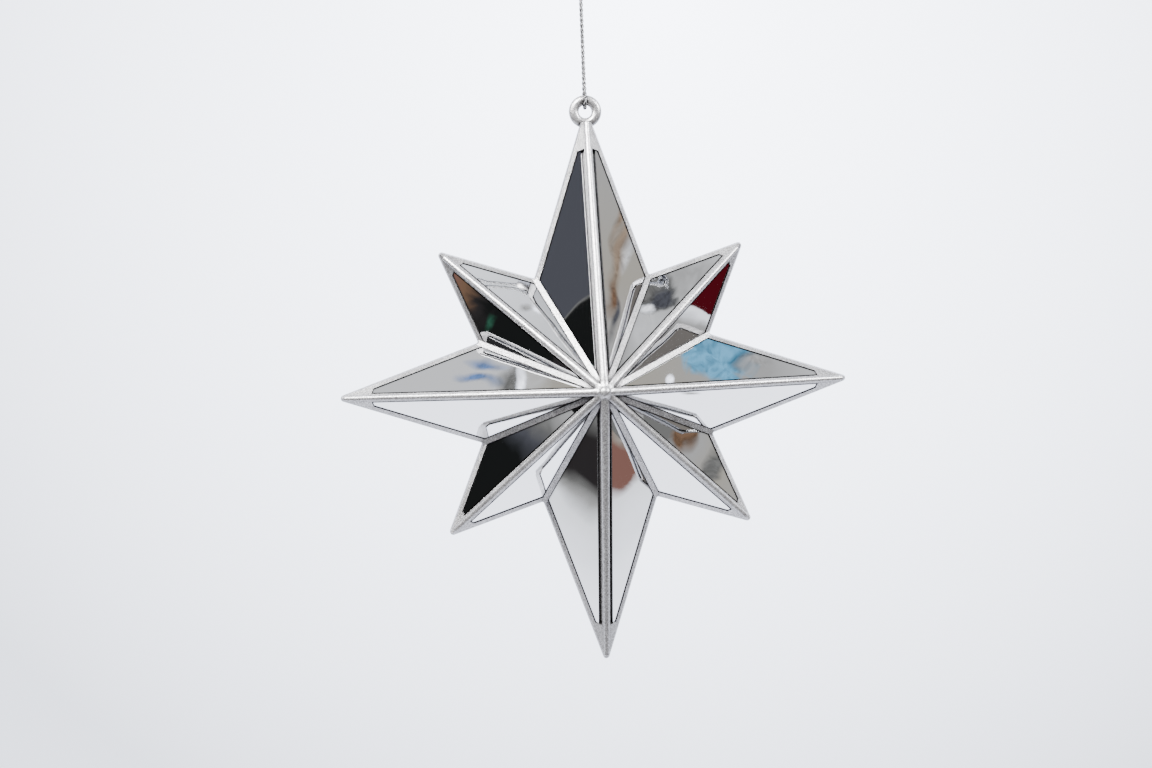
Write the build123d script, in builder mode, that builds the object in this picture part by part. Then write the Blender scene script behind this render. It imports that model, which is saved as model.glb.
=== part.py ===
"""Eight-pointed mirror star ornament, hung on a cord. Millimetres, +Z up, the front faces -Y.

The origin is at the top of the cord's loop, just under the knot, where a hook holds it.
"""

from build123d import *
import math
import os

os.makedirs("parts", exist_ok=True)

# Star outline: corner to corner, before the tips are rounded
TIP_HEIGHT = 75.2
TIP_WIDTH = 69.9
DIAGONAL_TIP = (41.4, 38.3)
STEEP_NOTCH = (15.4, 29.9)
SHALLOW_NOTCH = (31.1, 13.4)
TIP_ROUND = 0.9
NOTCH_ROUND = 0.5

# Half shell
APEX_DEPTH = 27.3
RIM_DEPTH = 2.3
BEVEL_INSET = 0.35
BEVEL_DROP = 0.8
FACE_WALL = 3.8
CAVITY_SCALE = 0.94
CAVITY_REACH = 0.8

# Ribs of each face
RIDGE_RADIUS = 1.15
RIDGE_TIP_RADIUS = 0.75
RIDGE_SINK = 0.5
RIDGE_END_GAP = 3.4
VALLEY_WIDTH = 1.4
VALLEY_THICKNESS = 2.4
HUB_RADIUS = 1.7

# Mirror panels and the pockets that hold them
RIDGE_INSET = 1.45
VALLEY_INSET = 0.8
RIM_INSET = 1.75
POCKET_DEPTH = 0.95
MIRROR_THICKNESS = 0.7
MIRROR_CLEARANCE = 0.12
# Each pocket stops square, this far short of its ray's corner, and its mirror leaves a groove at the ridge
UPRIGHT_STOP, UPRIGHT_GROOVE = 11.9, 1.4
SIDEWAYS_STOP, SIDEWAYS_GROOVE = 10.4, 0.6
DIAGONAL_STOP, DIAGONAL_GROOVE = 7.6, 0.6

# Locating pins between the two halves
PIN_OFFSET = (13.0, 12.0)
POST_RADIUS = 2.4
PIN_RADIUS = 1.0
PIN_LENGTH = 2.6
SOCKET_RADIUS = 1.2
SOCKET_DEPTH = 3.0

# Hanging ring
RING_RISE = 74.05
RING_MAJOR = 3.04
RING_MINOR = 1.34
NECK_SLOPE_START = 2.4

# Cord, its loop and its knot
CORD_RADIUS = 0.5
LOOP_DROP = 58.0
STRAND_OFFSET = 0.62
WRAP_CLEARANCE = 0.175
WRAP_RADIUS = RING_MINOR + CORD_RADIUS + WRAP_CLEARANCE
KNOT_RADIUS = 1.55
KNOT_RISE = 1.9
KNOT_BAND = 0.7
TAIL_LENGTH = 6.5
TAIL_SPLAY = 18.0
FILLET_SHARE = 0.45

STAR_Z = -(LOOP_DROP + RING_RISE)
RING_Z = -LOOP_DROP
SECTION_Z = RING_Z + RING_MAJOR

RAYS = ["top", "upper_right", "right", "lower_right", "bottom", "lower_left", "left", "upper_left"]
TIPS = [
    (0, TIP_HEIGHT),
    DIAGONAL_TIP,
    (TIP_WIDTH, 0),
    (DIAGONAL_TIP[0], -DIAGONAL_TIP[1]),
    (0, -TIP_HEIGHT),
    (-DIAGONAL_TIP[0], -DIAGONAL_TIP[1]),
    (-TIP_WIDTH, 0),
    (-DIAGONAL_TIP[0], DIAGONAL_TIP[1]),
]
NOTCHES = [
    STEEP_NOTCH,
    SHALLOW_NOTCH,
    (SHALLOW_NOTCH[0], -SHALLOW_NOTCH[1]),
    (STEEP_NOTCH[0], -STEEP_NOTCH[1]),
    (-STEEP_NOTCH[0], -STEEP_NOTCH[1]),
    (-SHALLOW_NOTCH[0], -SHALLOW_NOTCH[1]),
    (-SHALLOW_NOTCH[0], SHALLOW_NOTCH[1]),
    (-STEEP_NOTCH[0], STEEP_NOTCH[1]),
]
PIN_SPOTS = [(sx * PIN_OFFSET[0], sz * PIN_OFFSET[1]) for sx in (-1, 1) for sz in (-1, 1)]
FACE_PLANE = Plane(origin=(0, 0, STAR_Z), x_dir=(1, 0, 0), z_dir=(0, -1, 0))


def place(point, depth):
    """A point of the star's outline, at a depth in front of the parting plane."""
    return Vector(point[0], -depth, STAR_Z + point[1])


APEX = place((0, 0), APEX_DEPTH)


def peaked_solid(outline, straight, peak):
    """A solid that rises straight from the parting plane and then tapers to one peak."""
    base = [place(point, 0) for point in outline]
    rim = [place(point, straight) for point in outline]
    top = place((0, 0), peak)
    faces = [Face(Wire.make_polygon(base, close=True))]
    for i in range(len(outline)):
        j = (i + 1) % len(outline)
        if straight:
            faces.append(Face(Wire.make_polygon([base[i], base[j], rim[j], rim[i]], close=True)))
        faces.append(Face(Wire.make_polygon([rim[i], rim[j], top], close=True)))
    return Solid(Shell(faces))


def facet(tip, notch):
    """The corners of one facet of the front and the plane that it lies in."""
    corners = [APEX, place(tip, RIM_DEPTH), place(notch, RIM_DEPTH)]
    normal = (corners[1] - corners[0]).cross(corners[2] - corners[0])
    if normal.Y > 0:
        normal = normal * -1
    return corners, Plane(origin=corners[0], x_dir=corners[1] - corners[0], z_dir=normal)


def stop_and_groove(tip):
    """How far a ray's pockets stop short of its corner, and the groove beside its mirrors."""
    if not tip[0]:
        return UPRIGHT_STOP, UPRIGHT_GROOVE
    if not tip[1]:
        return SIDEWAYS_STOP, SIDEWAYS_GROOVE
    return DIAGONAL_STOP, DIAGONAL_GROOVE


def window(tip, notch, is_mirror):
    """The corners of a mirror, or of its pocket, inside its facet, in the facet plane's own axes."""
    corners, plane = facet(tip, notch)
    apex, far, near = [plane.to_local_coords(corner) for corner in corners]
    middle = (apex + far + near) * (1 / 3)
    stop, groove = stop_and_groove(tip)
    gap = MIRROR_CLEARANCE if is_mirror else 0
    ridge_gap = groove if is_mirror else 0
    end = far.X - stop - gap
    sides = [
        (apex, far - apex, RIDGE_INSET + ridge_gap),
        (Vector(end, 0), Vector(0, 1), 0),
        (far, near - far, RIM_INSET + gap),
        (near, apex - near, VALLEY_INSET + gap),
    ]
    lines = []
    for start, along, inset in sides:
        along = along.normalized()
        inward = Vector(-along.Y, along.X)
        if inward.dot(middle - start) < 0:
            inward = inward * -1
        lines.append((start + inward * inset, along))
    found = []
    for (p, u), (q, v) in zip(lines, lines[1:] + lines[:1]):
        reach = ((q.X - p.X) * v.Y - (q.Y - p.Y) * v.X) / (u.X * v.Y - u.Y * v.X)
        found.append((p.X + u.X * reach, p.Y + u.Y * reach))
    return found, plane


def panel_solid(tip, notch, is_mirror):
    """A flat block with its back on the pocket's floor: a mirror, or the space that its pocket takes."""
    corners, plane = window(tip, notch, is_mirror)
    thickness = MIRROR_THICKNESS if is_mirror else 2 * POCKET_DEPTH
    with BuildPart() as block:
        with BuildSketch(plane.offset(-POCKET_DEPTH)):
            with BuildLine():
                Polyline(*corners, close=True)
            make_face()
        extrude(amount=thickness)
    return block.part


def star_outline():
    """Tips and notches in turn, clockwise from the top."""
    return [point for pair in zip(TIPS, NOTCHES) for point in pair]


def cavity_outline():
    """The hollow's outline: a smaller star whose tips are cut off square."""
    points = []
    for i, tip in enumerate(TIPS):
        for notch in (NOTCHES[i - 1], NOTCHES[i]):
            blunt = [n + (t - n) * CAVITY_REACH for n, t in zip(notch, tip)]
            points.append((blunt[0] * CAVITY_SCALE, blunt[1] * CAVITY_SCALE))
        points.append((NOTCHES[i][0] * CAVITY_SCALE, NOTCHES[i][1] * CAVITY_SCALE))
    return points


# The hollow inside one half, less the four posts that stand in it
with BuildPart() as hollow:
    add(peaked_solid(cavity_outline(), 0, APEX_DEPTH - FACE_WALL))
    with BuildSketch(FACE_PLANE):
        with Locations(*PIN_SPOTS):
            Circle(POST_RADIUS)
    extrude(amount=APEX_DEPTH, mode=Mode.SUBTRACT)

# The rounded star as a straight block, bevelled where the facets meet the side wall
with BuildPart() as star_block:
    with BuildSketch(FACE_PLANE) as outline:
        with BuildLine():
            Polyline(*star_outline(), close=True)
        make_face()
        centre = FACE_PLANE.origin
        fillet(outline.vertices().sort_by(lambda v: (v.center() - centre).length)[8:], TIP_ROUND)
        fillet(outline.vertices().sort_by(lambda v: (v.center() - centre).length)[:8], NOTCH_ROUND)
    extrude(amount=RIM_DEPTH + BEVEL_INSET)
    top = star_block.faces().sort_by(Axis.Y)[0]
    chamfer(top.edges(), length=BEVEL_INSET, length2=BEVEL_DROP, reference=top)
    extrude(star_block.faces().sort_by(Axis.Y)[0], amount=APEX_DEPTH)


def ridge_end(tip, index):
    """Where a ridge rod stops: just short of its tip, or under the ring on the top ray."""
    length = math.hypot(*tip)
    stop = RING_RISE - RING_MAJOR if index == 0 else length - RIDGE_END_GAP
    share = stop / length
    return place((tip[0] * share, tip[1] * share), 0), share


# One half of the frame, as the front one
with BuildPart() as half:
    add(peaked_solid(star_outline(), RIM_DEPTH, APEX_DEPTH))
    # flat bars along the valleys
    for i, notch in enumerate(NOTCHES):
        along = place(notch, RIM_DEPTH) - APEX
        slope = facet(TIPS[i], notch)[1].z_dir
        normal = slope + facet(TIPS[(i + 1) % 8], notch)[1].z_dir
        rise = VALLEY_WIDTH / 2 * math.tan(math.radians(slope.get_angle(normal)))
        with BuildSketch(Plane(origin=APEX, x_dir=along, z_dir=normal).offset(rise)):
            with Locations((along.length / 2, 0)):
                Rectangle(along.length + VALLEY_WIDTH, VALLEY_WIDTH)
        extrude(amount=-VALLEY_THICKNESS)
    add(star_block.part, mode=Mode.INTERSECT)
    # ridge rods, one along each ray, and a ball at the rounded end of each
    for index, tip in enumerate(TIPS):
        spot, share = ridge_end(tip, index)
        depth = APEX_DEPTH + (RIM_DEPTH - APEX_DEPTH) * share - RIDGE_SINK
        end = Vector(spot.X, -depth, spot.Z)
        start = APEX + Vector(0, RIDGE_SINK, 0)
        length = (end - start).length
        narrowing = RIDGE_RADIUS - RIDGE_TIP_RADIUS
        with BuildSketch(Plane(origin=start, z_dir=end - start)):
            Circle(RIDGE_RADIUS)
        extrude(amount=length, taper=math.degrees(math.atan2(narrowing, length)))
        with Locations(end):
            Sphere(RIDGE_TIP_RADIUS)
    with Locations(APEX + Vector(0, RIDGE_RADIUS / 2, 0)):
        Sphere(HUB_RADIUS)
    # pockets for the mirrors
    for i, tip in enumerate(TIPS):
        for notch in (NOTCHES[i - 1], NOTCHES[i]):
            add(panel_solid(tip, notch, False), mode=Mode.SUBTRACT)
    add(hollow.part, mode=Mode.SUBTRACT)
    # the top ray slopes down to the ring, and the ring closes its end
    with BuildSketch(Plane.YZ):
        with BuildLine():
            Polyline(
                (0.0, SECTION_Z - 2 * RING_MAJOR + RING_MINOR / 2),
                (-RING_MINOR, SECTION_Z - 2 * RING_MAJOR),
                (-APEX_DEPTH, SECTION_Z - 2 * RING_MAJOR - NECK_SLOPE_START),
                (-APEX_DEPTH, 0),
                (0, 0),
                close=True,
            )
        make_face()
    extrude(amount=TIP_WIDTH, both=True, mode=Mode.SUBTRACT)
    with BuildSketch(Plane.XZ):
        with Locations((0, RING_Z)):
            Circle(RING_MAJOR - RING_MINOR)
    extrude(amount=APEX_DEPTH, mode=Mode.SUBTRACT)
    with BuildSketch(Plane.YZ):
        with Locations((0, SECTION_Z)):
            Circle(RING_MINOR)
        with Locations((RING_MINOR, SECTION_Z)):
            Rectangle(2 * RING_MINOR, 2 * RING_MINOR, mode=Mode.SUBTRACT)
    revolve(axis=Axis((0, 0, RING_Z), (0, 1, 0)))

print("half volume", round(half.part.volume), "solids", len(half.part.solids()))

# Front frame: the half with a pin standing on each post
with BuildPart() as frame_front:
    add(half.part)
    with BuildSketch(FACE_PLANE.offset(PIN_RADIUS)):
        with Locations(*PIN_SPOTS):
            Circle(PIN_RADIUS)
    extrude(amount=-PIN_RADIUS - PIN_LENGTH)
frame_front.part.label = "frame_front"
export_step(frame_front.part, "parts/frame_front.step")

# Back frame: the mirrored half with a socket in each post
with BuildPart() as frame_back:
    mirror(half.part, about=Plane.XZ)
    with BuildSketch(FACE_PLANE):
        with Locations(*PIN_SPOTS):
            Circle(SOCKET_RADIUS)
    extrude(amount=-SOCKET_DEPTH, mode=Mode.SUBTRACT)
frame_back.part.label = "frame_back"
export_step(frame_back.part, "parts/frame_back.step")

# Mirror panels, two on each ray, on the front and on the back
for i, tip in enumerate(TIPS):
    for side, notch in (("ccw", NOTCHES[i - 1]), ("cw", NOTCHES[i])):
        panel = panel_solid(tip, notch, True)
        for face in ("front", "back"):
            name = f"{face}_mirror_{RAYS[i]}_{side}"
            with BuildPart() as mirror_panel:
                if face == "front":
                    add(panel)
                else:
                    mirror(panel, about=Plane.XZ)
            mirror_panel.part.label = name
            export_step(mirror_panel.part, f"parts/{name}.step")

# Cord: down the front, round the ring's upper tube and back up, in the YZ plane
WRAP_CORNER = WRAP_RADIUS / math.cos(math.radians(30))
HALF_CORNER = WRAP_RADIUS * math.tan(math.radians(30))
CORD_ROUTE = [
    (-0.55, 0.9),
    (-1.75, -4.6),
    (-STRAND_OFFSET, -12.5),
    (-STRAND_OFFSET - 0.08, -27.0),
    (-STRAND_OFFSET, -42.0),
    (-0.95, SECTION_Z + 5.4),
    (-WRAP_RADIUS, SECTION_Z + 1.3),
    (-WRAP_RADIUS, SECTION_Z - HALF_CORNER),
    (0, SECTION_Z - WRAP_CORNER),
    (WRAP_RADIUS, SECTION_Z - HALF_CORNER),
    (WRAP_RADIUS, SECTION_Z + 1.3),
    (0.95, SECTION_Z + 5.4),
    (STRAND_OFFSET, -42.0),
    (STRAND_OFFSET + 0.08, -27.0),
    (STRAND_OFFSET, -12.5),
    (1.75, -4.6),
    (0.55, 0.9),
]
route = [Vector(0, y, z) for y, z in CORD_ROUTE]
radii = []
for before, corner, after in zip(route, route[1:], route[2:]):
    turn = (corner - before).get_angle(after - corner)
    shorter = min((corner - before).length, (after - corner).length)
    radii.append(FILLET_SHARE * shorter / math.tan(math.radians(turn / 2)))
with BuildPart() as hanging_cord:
    with BuildLine() as path:
        FilletPolyline(*route, radius=radii)
    with BuildSketch(Plane(origin=route[0], z_dir=route[1] - route[0])):
        Circle(CORD_RADIUS)
    sweep()
hanging_cord.part.label = "hanging_cord"
export_step(hanging_cord.part, "parts/hanging_cord.step")
print("cord radii", [round(radius, 2) for radius in radii])
print("cord length", round(path.wire().length, 2))
print("cord volume", round(hanging_cord.part.volume, 2))
print("section times length", round(math.pi * CORD_RADIUS**2 * path.wire().length, 2))

# Knot that closes the loop, with its band and its two tails
with BuildPart() as cord_knot:
    with Locations((0, 0, KNOT_RISE)):
        Sphere(KNOT_RADIUS)
        Torus(KNOT_RADIUS - KNOT_BAND / 2, KNOT_BAND)
    for side in (-1, 1):
        lean = Vector(0, side * math.sin(math.radians(TAIL_SPLAY)), math.cos(math.radians(TAIL_SPLAY)))
        with BuildSketch(Plane(origin=(0, side * CORD_RADIUS, KNOT_RISE), z_dir=lean)):
            Circle(CORD_RADIUS)
        extrude(amount=TAIL_LENGTH)
    add(hanging_cord.part, mode=Mode.SUBTRACT)
cord_knot.part.label = "cord_knot"
export_step(cord_knot.part, "parts/cord_knot.step")
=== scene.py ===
"""Looks of the hanging mirror star: silver painted frame, mirror panels and a twisted metallic cord.
Metres, apart from the part's own dimensions, the cord's route and the knot, which are in millimetres."""

import math

import bpy
from mathutils import Matrix, Vector


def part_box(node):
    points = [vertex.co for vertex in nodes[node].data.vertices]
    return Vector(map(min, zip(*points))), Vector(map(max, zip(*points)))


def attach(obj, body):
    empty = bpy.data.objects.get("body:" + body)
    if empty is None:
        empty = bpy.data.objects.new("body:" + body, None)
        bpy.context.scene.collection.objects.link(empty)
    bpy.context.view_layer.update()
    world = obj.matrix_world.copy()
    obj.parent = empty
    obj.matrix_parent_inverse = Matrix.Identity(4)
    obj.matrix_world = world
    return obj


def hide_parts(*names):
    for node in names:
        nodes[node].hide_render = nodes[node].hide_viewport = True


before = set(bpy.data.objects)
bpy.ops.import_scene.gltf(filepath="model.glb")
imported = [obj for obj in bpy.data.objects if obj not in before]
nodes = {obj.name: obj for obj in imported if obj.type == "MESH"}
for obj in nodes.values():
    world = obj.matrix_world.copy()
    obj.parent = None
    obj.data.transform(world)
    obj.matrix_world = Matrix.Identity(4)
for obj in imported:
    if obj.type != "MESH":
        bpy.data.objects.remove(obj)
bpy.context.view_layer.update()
MM = 0.001

# ---------------------------------------------------------------- camera
# two of the part's dimensions, in millimetres
LOOP_DROP = 58.0
RING_RISE = 74.05
STAR_CENTRE = Vector((0, 0, (-LOOP_DROP - RING_RISE) * MM))
AZIMUTH = math.radians(-4.07)
ELEVATION = math.radians(2.35)
ROLL = math.radians(-2.22)
DISTANCE = 0.375
AIM_SHIFT = (-5.3 * MM, 1.0 * MM)
VIEW_WIDTH = 0.311
SENSOR = 36.0
NEAREST_SEEN = 0.01

away = Vector(
    (
        math.sin(AZIMUTH) * math.cos(ELEVATION),
        -math.cos(AZIMUTH) * math.cos(ELEVATION),
        math.sin(ELEVATION),
    )
)
level = Vector((math.cos(AZIMUTH), math.sin(AZIMUTH), 0))
upright = away.cross(level)
cam_right = level * math.cos(ROLL) + upright * math.sin(ROLL)
cam_up = upright * math.cos(ROLL) - level * math.sin(ROLL)
eye = STAR_CENTRE + away * DISTANCE + cam_right * AIM_SHIFT[0] + cam_up * AIM_SHIFT[1]

camera = bpy.data.objects.new("camera", bpy.data.cameras.new("camera"))
camera.data.sensor_width = SENSOR
camera.data.lens = SENSOR * DISTANCE / VIEW_WIDTH
camera.data.clip_start = NEAREST_SEEN
camera.matrix_world = Matrix(
    (
        (cam_right.x, cam_up.x, away.x, eye.x),
        (cam_right.y, cam_up.y, away.y, eye.y),
        (cam_right.z, cam_up.z, away.z, eye.z),
        (0, 0, 0, 1),
    )
)
bpy.context.scene.collection.objects.link(camera)
bpy.context.scene.camera = camera


# ---------------------------------------------------------------- helpers
def new_material(name):
    """A node material and its principled shader."""
    material = bpy.data.materials.new(name)
    material.use_nodes = True
    return material, material.node_tree, material.node_tree.nodes["Principled BSDF"]


def add_node(tree, kind, inputs=None, **settings):
    """A shader node with its settings and the values of its sockets."""
    node = tree.nodes.new(kind)
    for key, value in settings.items():
        setattr(node, key, value)
    for key, value in (inputs or {}).items():
        node.inputs[key].default_value = value
    return node


def glowing_material(name):
    """A material that only glows, its tree and its emission node."""
    material, tree, shader = new_material(name)
    tree.nodes.remove(shader)
    glow = add_node(tree, "ShaderNodeEmission", {"Strength": 1.0})
    tree.links.new(glow.outputs["Emission"], tree.nodes["Material Output"].inputs["Surface"])
    return material, tree, glow


def add_noise(tree, place, inputs):
    """A noise node at the place that the socket gives, and its output."""
    noise = add_node(tree, "ShaderNodeTexNoise", inputs)
    tree.links.new(place, noise.inputs["Vector"])
    return noise.outputs["Fac"]


def ranged(tree, value, start, end, low=0.0, high=1.0, **settings):
    """The value taken from start..end to low..high."""
    node = add_node(
        tree,
        "ShaderNodeMapRange",
        {"From Min": start, "From Max": end, "To Min": low, "To Max": high},
        **settings,
    )
    tree.links.new(value, node.inputs["Value"])
    return node.outputs["Result"]


def ramped(tree, value, stops):
    """The colour that the value has on a ramp of (position, colour) stops."""
    node = add_node(tree, "ShaderNodeValToRGB")
    marks = node.color_ramp.elements
    marks[0].position, marks[1].position = stops[0][0], stops[-1][0]
    marks[0].color, marks[1].color = (*stops[0][1], 1), (*stops[-1][1], 1)
    for position, tone in stops[1:-1]:
        marks.new(position).color = (*tone, 1)
    tree.links.new(value, node.inputs["Fac"])
    return node.outputs["Color"]


def scaled_sum(tree, value, factor, addend):
    """The value times the factor, plus the addend."""
    node = add_node(tree, "ShaderNodeMath", {1: factor}, operation="MULTIPLY_ADD")
    tree.links.new(value, node.inputs[0])
    tree.links.new(addend, node.inputs[2])
    return node.outputs["Value"]


def mixed(tree, share, first, second):
    """The first colour, with the second over it by its share. A colour is a socket or three numbers."""
    node = add_node(tree, "ShaderNodeMix", data_type="RGBA")
    tree.links.new(share, node.inputs["Factor"])
    for socket, colour in (("A", first), ("B", second)):
        if isinstance(colour, tuple):
            node.inputs[socket].default_value = (*colour, 1)
        else:
            tree.links.new(colour, node.inputs[socket])
    return node.outputs["Result"]


CORNERS = ((-1, -1), (1, -1), (1, 1), (-1, 1))


def mesh_object(name, points, faces, uvs=None):
    """A mesh object made of points and faces, with one UV for each point if given."""
    mesh = bpy.data.meshes.new(name)
    mesh.from_pydata(points, [], faces)
    if uvs:
        layer = mesh.uv_layers.new(name="UVMap")
        for loop in mesh.loops:
            layer.data[loop.index].uv = uvs[loop.vertex_index]
    made = bpy.data.objects.new(name, mesh)
    bpy.context.scene.collection.objects.link(made)
    return made


# ---------------------------------------------------------------- cord
# the part's ring and the cord's route as (y, z) in the plane x = 0, in millimetres
CORD_RADIUS = 0.5
RING_MAJOR = 3.04
RING_MINOR = 1.34
WRAP_CLEARANCE = 0.175
WRAP_RADIUS = RING_MINOR + CORD_RADIUS + WRAP_CLEARANCE
SECTION_Z = -LOOP_DROP + RING_MAJOR
STRAND_OFFSET = 0.62
KNOT_ENTRY = (0.55, 0.9)
WRAP_CORNER = WRAP_RADIUS / math.cos(math.radians(30))
HALF_CORNER = WRAP_RADIUS * math.tan(math.radians(30))
CORD_ROUTE = [
    (-KNOT_ENTRY[0], KNOT_ENTRY[1]),
    (-1.75, -4.6),
    (-STRAND_OFFSET, -12.5),
    (-STRAND_OFFSET - 0.08, -27.0),
    (-STRAND_OFFSET, -42.0),
    (-0.95, SECTION_Z + 5.4),
    (-WRAP_RADIUS, SECTION_Z + 1.3),
    (-WRAP_RADIUS, SECTION_Z - HALF_CORNER),
    (0, SECTION_Z - WRAP_CORNER),
    (WRAP_RADIUS, SECTION_Z - HALF_CORNER),
    (WRAP_RADIUS, SECTION_Z + 1.3),
    (0.95, SECTION_Z + 5.4),
    (STRAND_OFFSET, -42.0),
    (STRAND_OFFSET + 0.08, -27.0),
    (STRAND_OFFSET, -12.5),
    (1.75, -4.6),
    KNOT_ENTRY,
]
PLY_RADIUS = 0.265 * MM
PLY_OFFSET = 0.23 * MM
PLY_PITCH = 2.8 * MM
PLY_STEP = 0.16 * MM
PLY_SIDES = 8
SPLINE_STEPS = 24


def smooth_path(name, points):
    """Points along the NURBS spline through the route's control points."""
    curve = bpy.data.curves.new(name, "CURVE")
    curve.dimensions = "3D"
    curve.resolution_u = SPLINE_STEPS
    spline = curve.splines.new("NURBS")
    spline.points.add(len(points) - 1)
    for target, point in zip(spline.points, points):
        target.co = (*point, 1)
    spline.order_u = 3
    spline.use_endpoint_u = True
    carrier = bpy.data.objects.new(name, curve)
    bpy.context.scene.collection.objects.link(carrier)
    bpy.context.view_layer.update()
    mesh = bpy.data.meshes.new_from_object(carrier)
    found = [v.co.copy() for v in mesh.vertices]
    bpy.data.objects.remove(carrier)
    bpy.data.meshes.remove(mesh)
    return found


def even_steps(points, step):
    """The same path at even steps along it."""
    lengths = [0.0]
    for a, b in zip(points, points[1:]):
        lengths.append(lengths[-1] + (b - a).length)
    count = max(2, round(lengths[-1] / step))
    found, k = [], 0
    for i in range(count + 1):
        goal = lengths[-1] * i / count
        while k < len(points) - 2 and lengths[k + 1] < goal:
            k += 1
        span = lengths[k + 1] - lengths[k]
        found.append(points[k].lerp(points[k + 1], (goal - lengths[k]) / span if span else 0))
    return found, lengths[-1]


def beside(points, i, angle, radius):
    """The place at an angle round the path's point and at a radius from it."""
    along = (points[min(i + 1, len(points) - 1)] - points[max(i - 1, 0)]).normalized()
    side = Vector((1, 0, 0))
    across = (side - along * side.dot(along)).normalized()
    third = along.cross(across)
    return points[i] + (across * math.cos(angle) + third * math.sin(angle)) * radius


def twisted_cord(name, path, phase=0.0):
    """Two round plies twisted about a path, as one mesh, with UVs round and along each ply."""
    points, length = even_steps(path, PLY_STEP)
    travelled = [length * i / (len(points) - 1) for i in range(len(points))]
    verts, faces, uvs = [], [], []
    for ply in range(2):
        centres = [
            beside(points, i, math.tau * way / PLY_PITCH + math.pi * ply + phase, PLY_OFFSET)
            for i, way in enumerate(travelled)
        ]
        start = len(verts)
        for i, way in enumerate(travelled):
            for k in range(PLY_SIDES):
                verts.append(beside(centres, i, math.tau * k / PLY_SIDES, PLY_RADIUS))
                uvs.append((k / PLY_SIDES, way / MM))
        for i in range(len(centres) - 1):
            for k in range(PLY_SIDES):
                a = start + i * PLY_SIDES + k
                b = start + i * PLY_SIDES + (k + 1) % PLY_SIDES
                faces.append((a, b, b + PLY_SIDES, a + PLY_SIDES))
        faces.append(tuple(start + k for k in reversed(range(PLY_SIDES))))
        last = start + (len(centres) - 1) * PLY_SIDES
        faces.append(tuple(last + k for k in range(PLY_SIDES)))
    made = mesh_object(name, verts, faces, uvs)
    for polygon in made.data.polygons:
        polygon.use_smooth = True
    return made, points, length


cord_path = smooth_path("cord_route", [Vector((0, y, z)) * MM for y, z in CORD_ROUTE])
cord, cord_points, cord_length = twisted_cord("twisted_cord", cord_path)
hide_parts("hanging_cord")
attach(cord, "cord")


KNOT_MIDDLE = 1.95
KNOT_SCALE = (0.6, 0.55, 0.125)
KNOT_TURN = 1.8
KNOT_STEPS = 24
TAIL_LEAN = 0.2
TAIL_FOOT = (0.9, 4.1)
TAIL_END = (2.3, 7.6)


def knot_strand(side):
    """One strand of the overhand knot: in from the loop, round through itself and out into its tail."""
    points = [Vector((0, side * KNOT_ENTRY[0], KNOT_ENTRY[1]))]
    for i in range(KNOT_STEPS + 1):
        t = -KNOT_TURN + 2 * KNOT_TURN * i / KNOT_STEPS
        x, y, z = t**3 - 3 * t, t**4 - 4 * t**2 + 2, t**5 - 10 * t
        points.append(
            Vector((side * x * KNOT_SCALE[0], side * y * KNOT_SCALE[1], KNOT_MIDDLE + z * KNOT_SCALE[2]))
        )
    points.append(Vector((side * TAIL_LEAN, side * TAIL_FOOT[0], TAIL_FOOT[1])))
    points.append(Vector((0, side * TAIL_END[0], TAIL_END[1])))
    return [point * MM for point in points]


knot_parts = [
    twisted_cord(f"knot_strand_{i}", smooth_path("knot_route", knot_strand(side)), phase=i)[0]
    for i, side in enumerate((-1, 1))
]
for part in knot_parts:
    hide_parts("cord_knot")
    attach(part, "cord")


# ---------------------------------------------------------------- materials
def crease_shade(tree, shader, reach, start, end, dark, colour):
    """The colour on the shader, dark in the creases that are narrower than the reach."""
    crease = add_node(tree, "ShaderNodeAmbientOcclusion", {"Distance": reach}, samples=8)
    openness = ranged(tree, crease.outputs["AO"], start, end)
    tree.links.new(mixed(tree, openness, dark, colour), shader.inputs["Base Color"])


def relief(tree, shader, height, strength, depth):
    """A bump on the shader."""
    bump = add_node(tree, "ShaderNodeBump", {"Strength": strength, "Distance": depth})
    tree.links.new(height, bump.inputs["Height"])
    tree.links.new(bump.outputs["Normal"], shader.inputs["Normal"])


def silver_paint():
    """Silver paint on moulded plastic: fine metallic grain and a slightly uneven gloss."""
    material, tree, shader = new_material("silver_paint")
    shader.inputs["Metallic"].default_value = 0.82
    place = add_node(tree, "ShaderNodeTexCoord").outputs["Object"]
    grain = add_noise(tree, place, {"Scale": 2600.0, "Detail": 3.0, "Roughness": 0.6})
    cloud = add_noise(tree, place, {"Scale": 160.0, "Detail": 2.0})
    tint = ramped(tree, grain, [(0.42, (0.25, 0.243, 0.245)), (0.6, (0.5, 0.495, 0.5))])
    # painted shade: the paint is darkened in creases and grooves narrower than the reach
    crease_shade(tree, shader, 1.1 * MM, 0.6, 0.95, (0.035, 0.033, 0.034), tint)
    tree.links.new(ranged(tree, cloud, 0.3, 0.7, 0.27, 0.4), shader.inputs["Roughness"])
    relief(tree, shader, grain, 0.6, 0.08 * MM)
    return material


def mirror_sheet():
    """Silvered plastic sheet: a mirror that waves a little, with painted shade where it meets the frame."""
    material, tree, shader = new_material("mirror_sheet")
    shader.inputs["Metallic"].default_value = 1.0
    # painted shade: the mirror's colour is darkened near the frame's edges
    crease_shade(tree, shader, 0.9 * MM, 0.65, 0.92, (0.1, 0.1, 0.105), (0.9, 0.91, 0.93))
    place = add_node(tree, "ShaderNodeTexCoord").outputs["Object"]
    haze = add_noise(tree, place, {"Scale": 900.0, "Detail": 4.0, "Roughness": 0.7})
    tree.links.new(ranged(tree, haze, 0.45, 0.8, 0.012, 0.04), shader.inputs["Roughness"])
    wave = add_noise(tree, place, {"Scale": 55.0, "Detail": 1.0})
    relief(tree, shader, wave, 0.25, 0.4 * MM)
    return material


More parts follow.
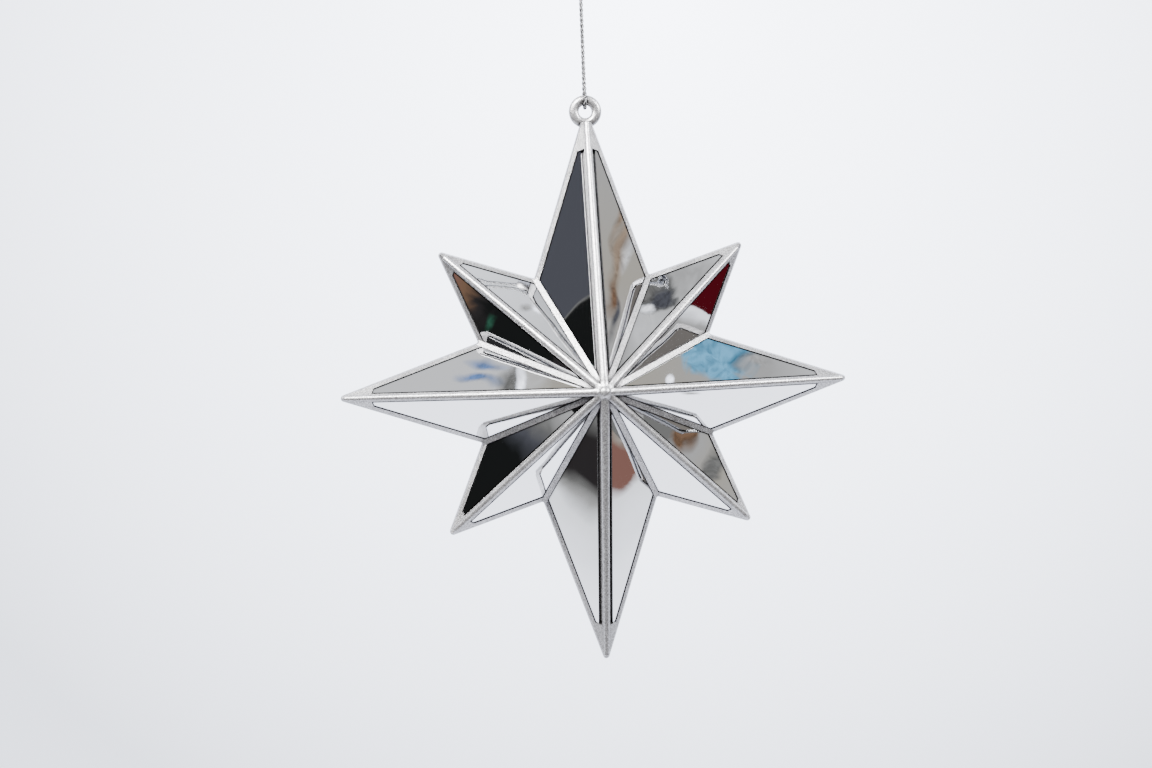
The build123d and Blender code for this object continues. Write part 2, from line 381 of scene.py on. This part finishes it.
def metallic_thread():
    """Silver metallic yarn: bright and dark fibres that wind round each ply."""
    material, tree, shader = new_material("metallic_thread")
    shader.inputs["Metallic"].default_value = 0.75
    shader.inputs["Roughness"].default_value = 0.36
    shader.inputs["Specular IOR Level"].default_value = 0.2
    shader.inputs["Specular Tint"].default_value = (0.15, 0.15, 0.16, 1)
    place = add_node(tree, "ShaderNodeTexCoord").outputs["UV"]
    wind = add_node(tree, "ShaderNodeMapping", {"Rotation": (0, 0, 0.6), "Scale": (5.0, 2.6, 1.0)})
    tree.links.new(place, wind.inputs["Vector"])
    wave = add_node(
        tree, "ShaderNodeTexWave", {"Scale": 1.0, "Distortion": 2.5, "Detail": 2.0, "Detail Scale": 2.0}
    )
    tree.links.new(wind.outputs["Vector"], wave.inputs["Vector"])
    fibre = wave.outputs["Fac"]
    tint = ramped(tree, fibre, [(0.0, (0.02, 0.02, 0.022)), (1.0, (0.5, 0.5, 0.51))])
    # painted shade: the thread is darkened in the creases between its plies
    crease_shade(tree, shader, 0.4 * MM, 0.35, 0.85, (0.008, 0.008, 0.009), tint)
    relief(tree, shader, fibre, 0.6, 0.1 * MM)
    return material


paint = silver_paint()
mirror = mirror_sheet()
thread = metallic_thread()


def wear(made, material):
    """The object shows this material only."""
    made.data.materials.clear()
    made.data.materials.append(material)


for name, made in nodes.items():
    if "mirror" in name:
        wear(made, mirror)
    elif name.startswith("frame"):
        wear(made, paint)
    else:
        wear(made, thread)
for made in (cord, *knot_parts):
    wear(made, thread)


# ---------------------------------------------------------------- painted reflections: glowing cards that the mirrors see
CARD_REACH = 0.55
CARD_HALF_LENGTH = 0.56
CARD_HALF_WIDTH = 0.26
UPRIGHT_CARD_HALF_WIDTH = 0.17
# the least cosine between the normals of one flat face's polygons
SAME_FACE = 0.999
PATCH_RAGGEDNESS = 1.6
# a value of the fine noise, and what a patch's colour is multiplied by there
DARK_MOTTLE = (0.3, 0.6)
BRIGHT_MOTTLE = (0.65, 1.2)


def facing(node):
    """The middle and the normal of a panel's front face."""
    polygons = nodes[node].data.polygons
    largest = max((p for p in polygons if p.normal.y < 0), key=lambda p: p.area)
    face = [p for p in polygons if p.normal.dot(largest.normal) > SAME_FACE]
    area = sum(p.area for p in face)
    return sum((p.center * p.area for p in face), Vector()) / area, largest.normal.copy()


def reflected(vector, normal):
    """The vector as the mirror with that normal turns it."""
    return vector - normal * (2 * vector.dot(normal))


def card_material(name, stops, slant, patches, grain):
    """A glowing card for a painted reflection: colours in turn from the hub's end to the tip's end, with
    ragged patches on them.
    The bands between the colours lean by the slant. A patch is its middle, size, colour and blur."""
    material, tree, glow = glowing_material(name)
    place = add_node(tree, "ShaderNodeTexCoord").outputs["UV"]
    split = add_node(tree, "ShaderNodeSeparateXYZ")
    tree.links.new(place, split.inputs["Vector"])
    rough = add_noise(tree, place, {"Scale": 7.0, "Detail": 5.0, "Distortion": 0.8})
    fine = add_noise(tree, place, {"Scale": 24.0, "Detail": 4.0, "Distortion": 1.2})
    centred = add_node(tree, "ShaderNodeMath", {1: 0.5}, operation="SUBTRACT")
    tree.links.new(rough, centred.inputs[0])
    ragged = scaled_sum(tree, centred.outputs["Value"], grain, split.outputs["X"])
    leaning = scaled_sum(tree, split.outputs["Y"], slant, ragged)
    colour = ramped(tree, leaning, stops)
    for (along, across), (wide, high), tone, blur in patches:
        shift = add_node(
            tree,
            "ShaderNodeMapping",
            {"Location": (-along / wide, -across / high, 0), "Scale": (1 / wide, 1 / high, 1)},
        )
        tree.links.new(place, shift.inputs["Vector"])
        reach = add_node(tree, "ShaderNodeVectorMath", operation="LENGTH")
        tree.links.new(shift.outputs["Vector"], reach.inputs[0])
        edge = scaled_sum(tree, centred.outputs["Value"], PATCH_RAGGEDNESS, reach.outputs["Value"])
        mask = ranged(tree, edge, 1.0 + blur, 1.0 - blur)
        mottle = [
            (position, tuple(part * factor for part in tone))
            for position, factor in (DARK_MOTTLE, BRIGHT_MOTTLE)
        ]
        colour = mixed(tree, mask, colour, ramped(tree, fine, mottle))
    tree.links.new(colour, glow.inputs["Color"])
    return material


def card(node, stops, patches=(), slant=0.0, grain=0.12, reach=CARD_REACH):
    """A stage card that paints the reflection seen in one panel, where the camera's line of sight goes
    after it. Its U runs from the hub's end (0) to the tip's end (1) of the panel's reflection, and its V is
    across, anticlockwise."""
    middle, normal = facing(node)
    sight = (middle - eye).normalized()
    turned = reflected(sight, normal)
    centre = middle + turned * reach
    ray = middle - STAR_CENTRE
    ray = (ray - away * ray.dot(away)).normalized()
    along = reflected(ray, normal)
    across = reflected(away.cross(ray), normal)
    along = (along - turned * along.dot(turned)).normalized()
    across = (across - turned * across.dot(turned)).normalized()
    low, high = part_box(node)
    size = (high - low).length * (reach + DISTANCE) / DISTANCE
    wide = UPRIGHT_CARD_HALF_WIDTH if abs(ray.x) < abs(ray.z) / 2 else CARD_HALF_WIDTH
    corners = [(u * CARD_HALF_LENGTH, v * wide) for u, v in CORNERS]
    points = [centre + (along * u + across * v) * size for u, v in corners]
    uvs = [(0.5 + u, v) for u, v in corners]
    made = mesh_object("card_" + node, points, [(0, 1, 2, 3)], uvs)
    wear(made, card_material("card_" + node, stops, slant, patches, grain))
    made.visible_camera = False
    made.visible_shadow = False
    made.visible_diffuse = False


# colours of the painted reflections on the cards, glints and patches included
WHITE = (2.75, 2.85, 3.2)
PALE = (1.5, 1.55, 1.65)
SILVER = (0.85, 0.86, 0.88)
GREY = (0.5, 0.5, 0.5)
DIM = (0.2, 0.2, 0.195)
SLATE = (0.085, 0.088, 0.105)
BLACK = (0.012, 0.013, 0.013)
BEIGE = (0.5, 0.47, 0.41)
BROWN = (0.2, 0.12, 0.075)
TAN = (0.36, 0.27, 0.2)
UMBER = (0.03, 0.027, 0.028)
RUST = (0.26, 0.13, 0.105)
RED = (0.09, 0.005, 0.01)
GREEN = (0.03, 0.1, 0.065)
SKY = (0.19, 0.56, 0.88)
BLUE = (0.16, 0.28, 0.6)
TEAL = (0.03, 0.16, 0.28)

PLAIN_WHITE = [(0.0, WHITE), (1.0, WHITE)]
card(
    "front_mirror_top_ccw",
    [(0.3, BLACK), (0.31, DIM), (0.32, SLATE), (1.0, SLATE)],
    slant=0.7,
    grain=0.02,
)
card(
    "front_mirror_top_cw",
    [(0.1, GREY), (0.45, BEIGE), (1.0, GREY)],
    [
        ((0.55, -0.03), (0.1, 0.03), SILVER, 0.4),
        ((0.52, 0.0), (0.24, 0.03), TAN, 0.6),
        ((0.33, 0.005), (0.09, 0.02), BROWN, 0.6),
        ((0.25, -0.02), (0.08, 0.015), SLATE, 0.6),
        ((0.72, 0.04), (0.14, 0.015), TAN, 0.5),
    ],
)
card(
    "front_mirror_upper_right_ccw",
    [(0.0, GREY), (0.35, SILVER), (0.7, GREY), (1.0, SILVER)],
    [
        ((0.49, 0.05), (0.13, 0.13), DIM, 0.12),
        ((0.5, 0.02), (0.09, 0.08), SLATE, 0.3),
        ((0.4, 0.05), (0.04, 0.05), PALE, 0.4),
    ],
    grain=0.5,
)
card(
    "front_mirror_upper_right_cw",
    [(0.3, DIM), (0.5, GREY), (0.57, PALE), (0.6, PALE), (0.61, RED), (1.0, RED)],
    slant=0.5,
)
card(
    "front_mirror_right_ccw",
    [(0.1, BEIGE), (0.7, GREY), (1.0, SILVER)],
    [
        ((0.51, 0.05), (0.15, 0.13), SKY, 0.15),
        ((0.62, 0.01), (0.06, 0.035), TEAL, 0.4),
        ((0.66, 0.0), (0.07, 0.035), GREY, 0.5),
        ((0.24, -0.02), (0.025, 0.025), WHITE, 0.3),
    ],
)
card("front_mirror_right_cw", PLAIN_WHITE, [((0.36, 0.0), (0.04, 0.01), SILVER, 0.5)])
card(
    "front_mirror_lower_right_ccw",
    [(0.15, DIM), (0.32, DIM), (0.5, GREY), (0.7, BEIGE), (1.0, GREY)],
    [((0.42, 0.02), (0.07, 0.07), BROWN, 0.3), ((0.66, 0.0), (0.05, 0.1), DIM, 0.4)],
)
card("front_mirror_lower_right_cw", PLAIN_WHITE)
card(
    "front_mirror_bottom_ccw",
    [(0.08, DIM), (0.14, BROWN), (0.2, RUST), (0.37, RUST), (0.43, PALE), (1.0, WHITE)],
    [((0.17, 0.07), (0.05, 0.04), BEIGE, 0.6)],
    slant=0.6,
    grain=0.08,
)
card(
    "front_mirror_bottom_cw",
    [(0.05, DIM), (0.15, UMBER), (0.34, UMBER), (0.39, DIM), (0.43, GREY), (0.5, PALE), (1.0, WHITE)],
    slant=-0.6,
    grain=0.06,
    reach=0.36,
)
card("front_mirror_lower_left_ccw", PLAIN_WHITE)
card(
    "front_mirror_lower_left_cw",
    [(0.1, GREY), (0.25, DIM), (0.36, SLATE), (0.46, BLACK), (1.0, BLACK)],
    slant=0.3,
)
card("front_mirror_left_ccw", PLAIN_WHITE)
card(
    "front_mirror_left_cw",
    [(0.1, BEIGE), (0.4, SILVER), (1.0, SILVER)],
    [
        ((0.48, 0.01), (0.09, 0.02), BLUE, 0.4),
        ((0.45, -0.04), (0.08, 0.015), BLUE, 0.5),
        ((0.34, 0.02), (0.05, 0.06), DIM, 0.4),
        ((0.3, 0.02), (0.02, 0.07), WHITE, 0.5),
    ],
    grain=0.3,
)
card(
    "front_mirror_upper_left_ccw",
    [(0.3, BLACK), (0.62, BLACK), (0.72, UMBER), (0.8, BROWN), (0.95, RUST)],
    [((0.6, 0.0), (0.03, 0.05), GREEN, 0.5)],
    grain=0.25,
)
card(
    "front_mirror_upper_left_cw",
    [(0.0, SILVER), (1.0, PALE)],
    [((0.45, -0.03), (0.04, 0.03), WHITE, 0.5), ((0.5, 0.02), (0.03, 0.04), GREY, 0.5)],
    grain=0.4,
)


# ---------------------------------------------------------------- backdrop and light
BACKDROP_DISTANCE = 0.5
BACKDROP_HALF = 1.6
# where the backdrop is brightest and how far it fades, as parts of its width
BRIGHT_PLACE = (0.513, 0.576, 0)
FADE_LENGTH = 0.18
BRIGHTEST = 9.0
DIMMEST = 2.75


def backdrop():
    """A pale cool glowing wall behind the star, with a painted pool of light: it fades away from a bright
    place above it.
    """
    middle = STAR_CENTRE - away * BACKDROP_DISTANCE
    points = [middle + (cam_right * u + cam_up * v) * BACKDROP_HALF for u, v in CORNERS]
    uvs = [((u + 1) / 2, (v + 1) / 2) for u, v in CORNERS]
    wall = mesh_object("backdrop", points, [(0, 1, 2, 3)], uvs)
    material, tree, glow = glowing_material("backdrop_paper")
    glow.inputs["Color"].default_value = (0.83, 0.875, 1.0, 1)
    from_bright_place = add_node(tree, "ShaderNodeVectorMath", {1: BRIGHT_PLACE}, operation="DISTANCE")
    tree.links.new(add_node(tree, "ShaderNodeTexCoord").outputs["UV"], from_bright_place.inputs[0])
    # painted light: the wall glows brightest at the bright place and dimmer away from it
    fading = ranged(tree, from_bright_place.outputs["Value"], 0.0, FADE_LENGTH, BRIGHTEST, DIMMEST)
    tree.links.new(fading, glow.inputs["Strength"])
    wear(wall, material)


def area_light(name, place, size, power, colour=(1, 1, 1)):
    """A soft square light that shines at the star."""
    data = bpy.data.lights.new(name, "AREA")
    data.size = size
    data.energy = power
    data.color = colour
    made = bpy.data.objects.new(name, data)
    made.location = STAR_CENTRE + Vector(place)
    made.rotation_euler = (-Vector(place)).to_track_quat("-Z", "Y").to_euler()
    bpy.context.scene.collection.objects.link(made)


def room():
    """A room: a white paper sweep behind and below the star, darker walls at the sides, bright overhead."""
    world = bpy.data.worlds.new("room")
    bpy.context.scene.world = world
    world.use_nodes = True
    tree = world.node_tree
    place = add_node(tree, "ShaderNodeTexCoord").outputs["Generated"]
    split = add_node(tree, "ShaderNodeSeparateXYZ")
    tree.links.new(place, split.inputs["Vector"])
    x, y, z = (split.outputs[axis] for axis in "XYZ")
    clutter = add_noise(tree, place, {"Scale": 2.6, "Detail": 5.0, "Roughness": 0.6})
    by_height = ramped(
        tree,
        scaled_sum(tree, clutter, 0.5, z),
        [
            (0.0, (0.27, 0.265, 0.27)),
            (0.3, (0.05, 0.05, 0.0525)),
            (0.55, (0.16, 0.16, 0.168)),
            (0.8, (0.8, 0.8, 0.84)),
            (1.0, (0.9, 0.92, 0.96)),
        ],
    )
    behind_or_below = scaled_sum(tree, z, -0.45, y)
    sweep = ranged(tree, behind_or_below, 0.05, 0.28, interpolation_type="SMOOTHSTEP")
    papered = mixed(tree, sweep, by_height, (3.2, 3.3, 3.7))
    walls = ramped(
        tree, scaled_sum(tree, x, 0.3, clutter), [(0.4, (0.03, 0.03, 0.032)), (0.85, (0.24, 0.22, 0.2))]
    )
    sideways = add_node(tree, "ShaderNodeMath", operation="ABSOLUTE")
    tree.links.new(x, sideways.inputs[0])
    wall_share = add_node(tree, "ShaderNodeMath", operation="MULTIPLY")
    tree.links.new(ranged(tree, sideways.outputs["Value"], 0.7, 0.88), wall_share.inputs[0])
    tree.links.new(ranged(tree, y, 0.6, 0.85, 1.0, 0.0), wall_share.inputs[1])
    seen = mixed(tree, wall_share.outputs["Value"], papered, walls)
    tree.links.new(seen, tree.nodes["Background"].inputs["Color"])


backdrop()
area_light("key", (-0.35, -0.6, 0.75), 0.45, 54.0)
area_light("left", (-0.8, -0.35, 0.55), 0.4, 18.0)
area_light("right", (0.85, -0.35, 0.5), 0.4, 13.0)
area_light("fill", (0.8, -0.6, 0.6), 0.5, 20.0, (0.95, 0.97, 1.0))
room()
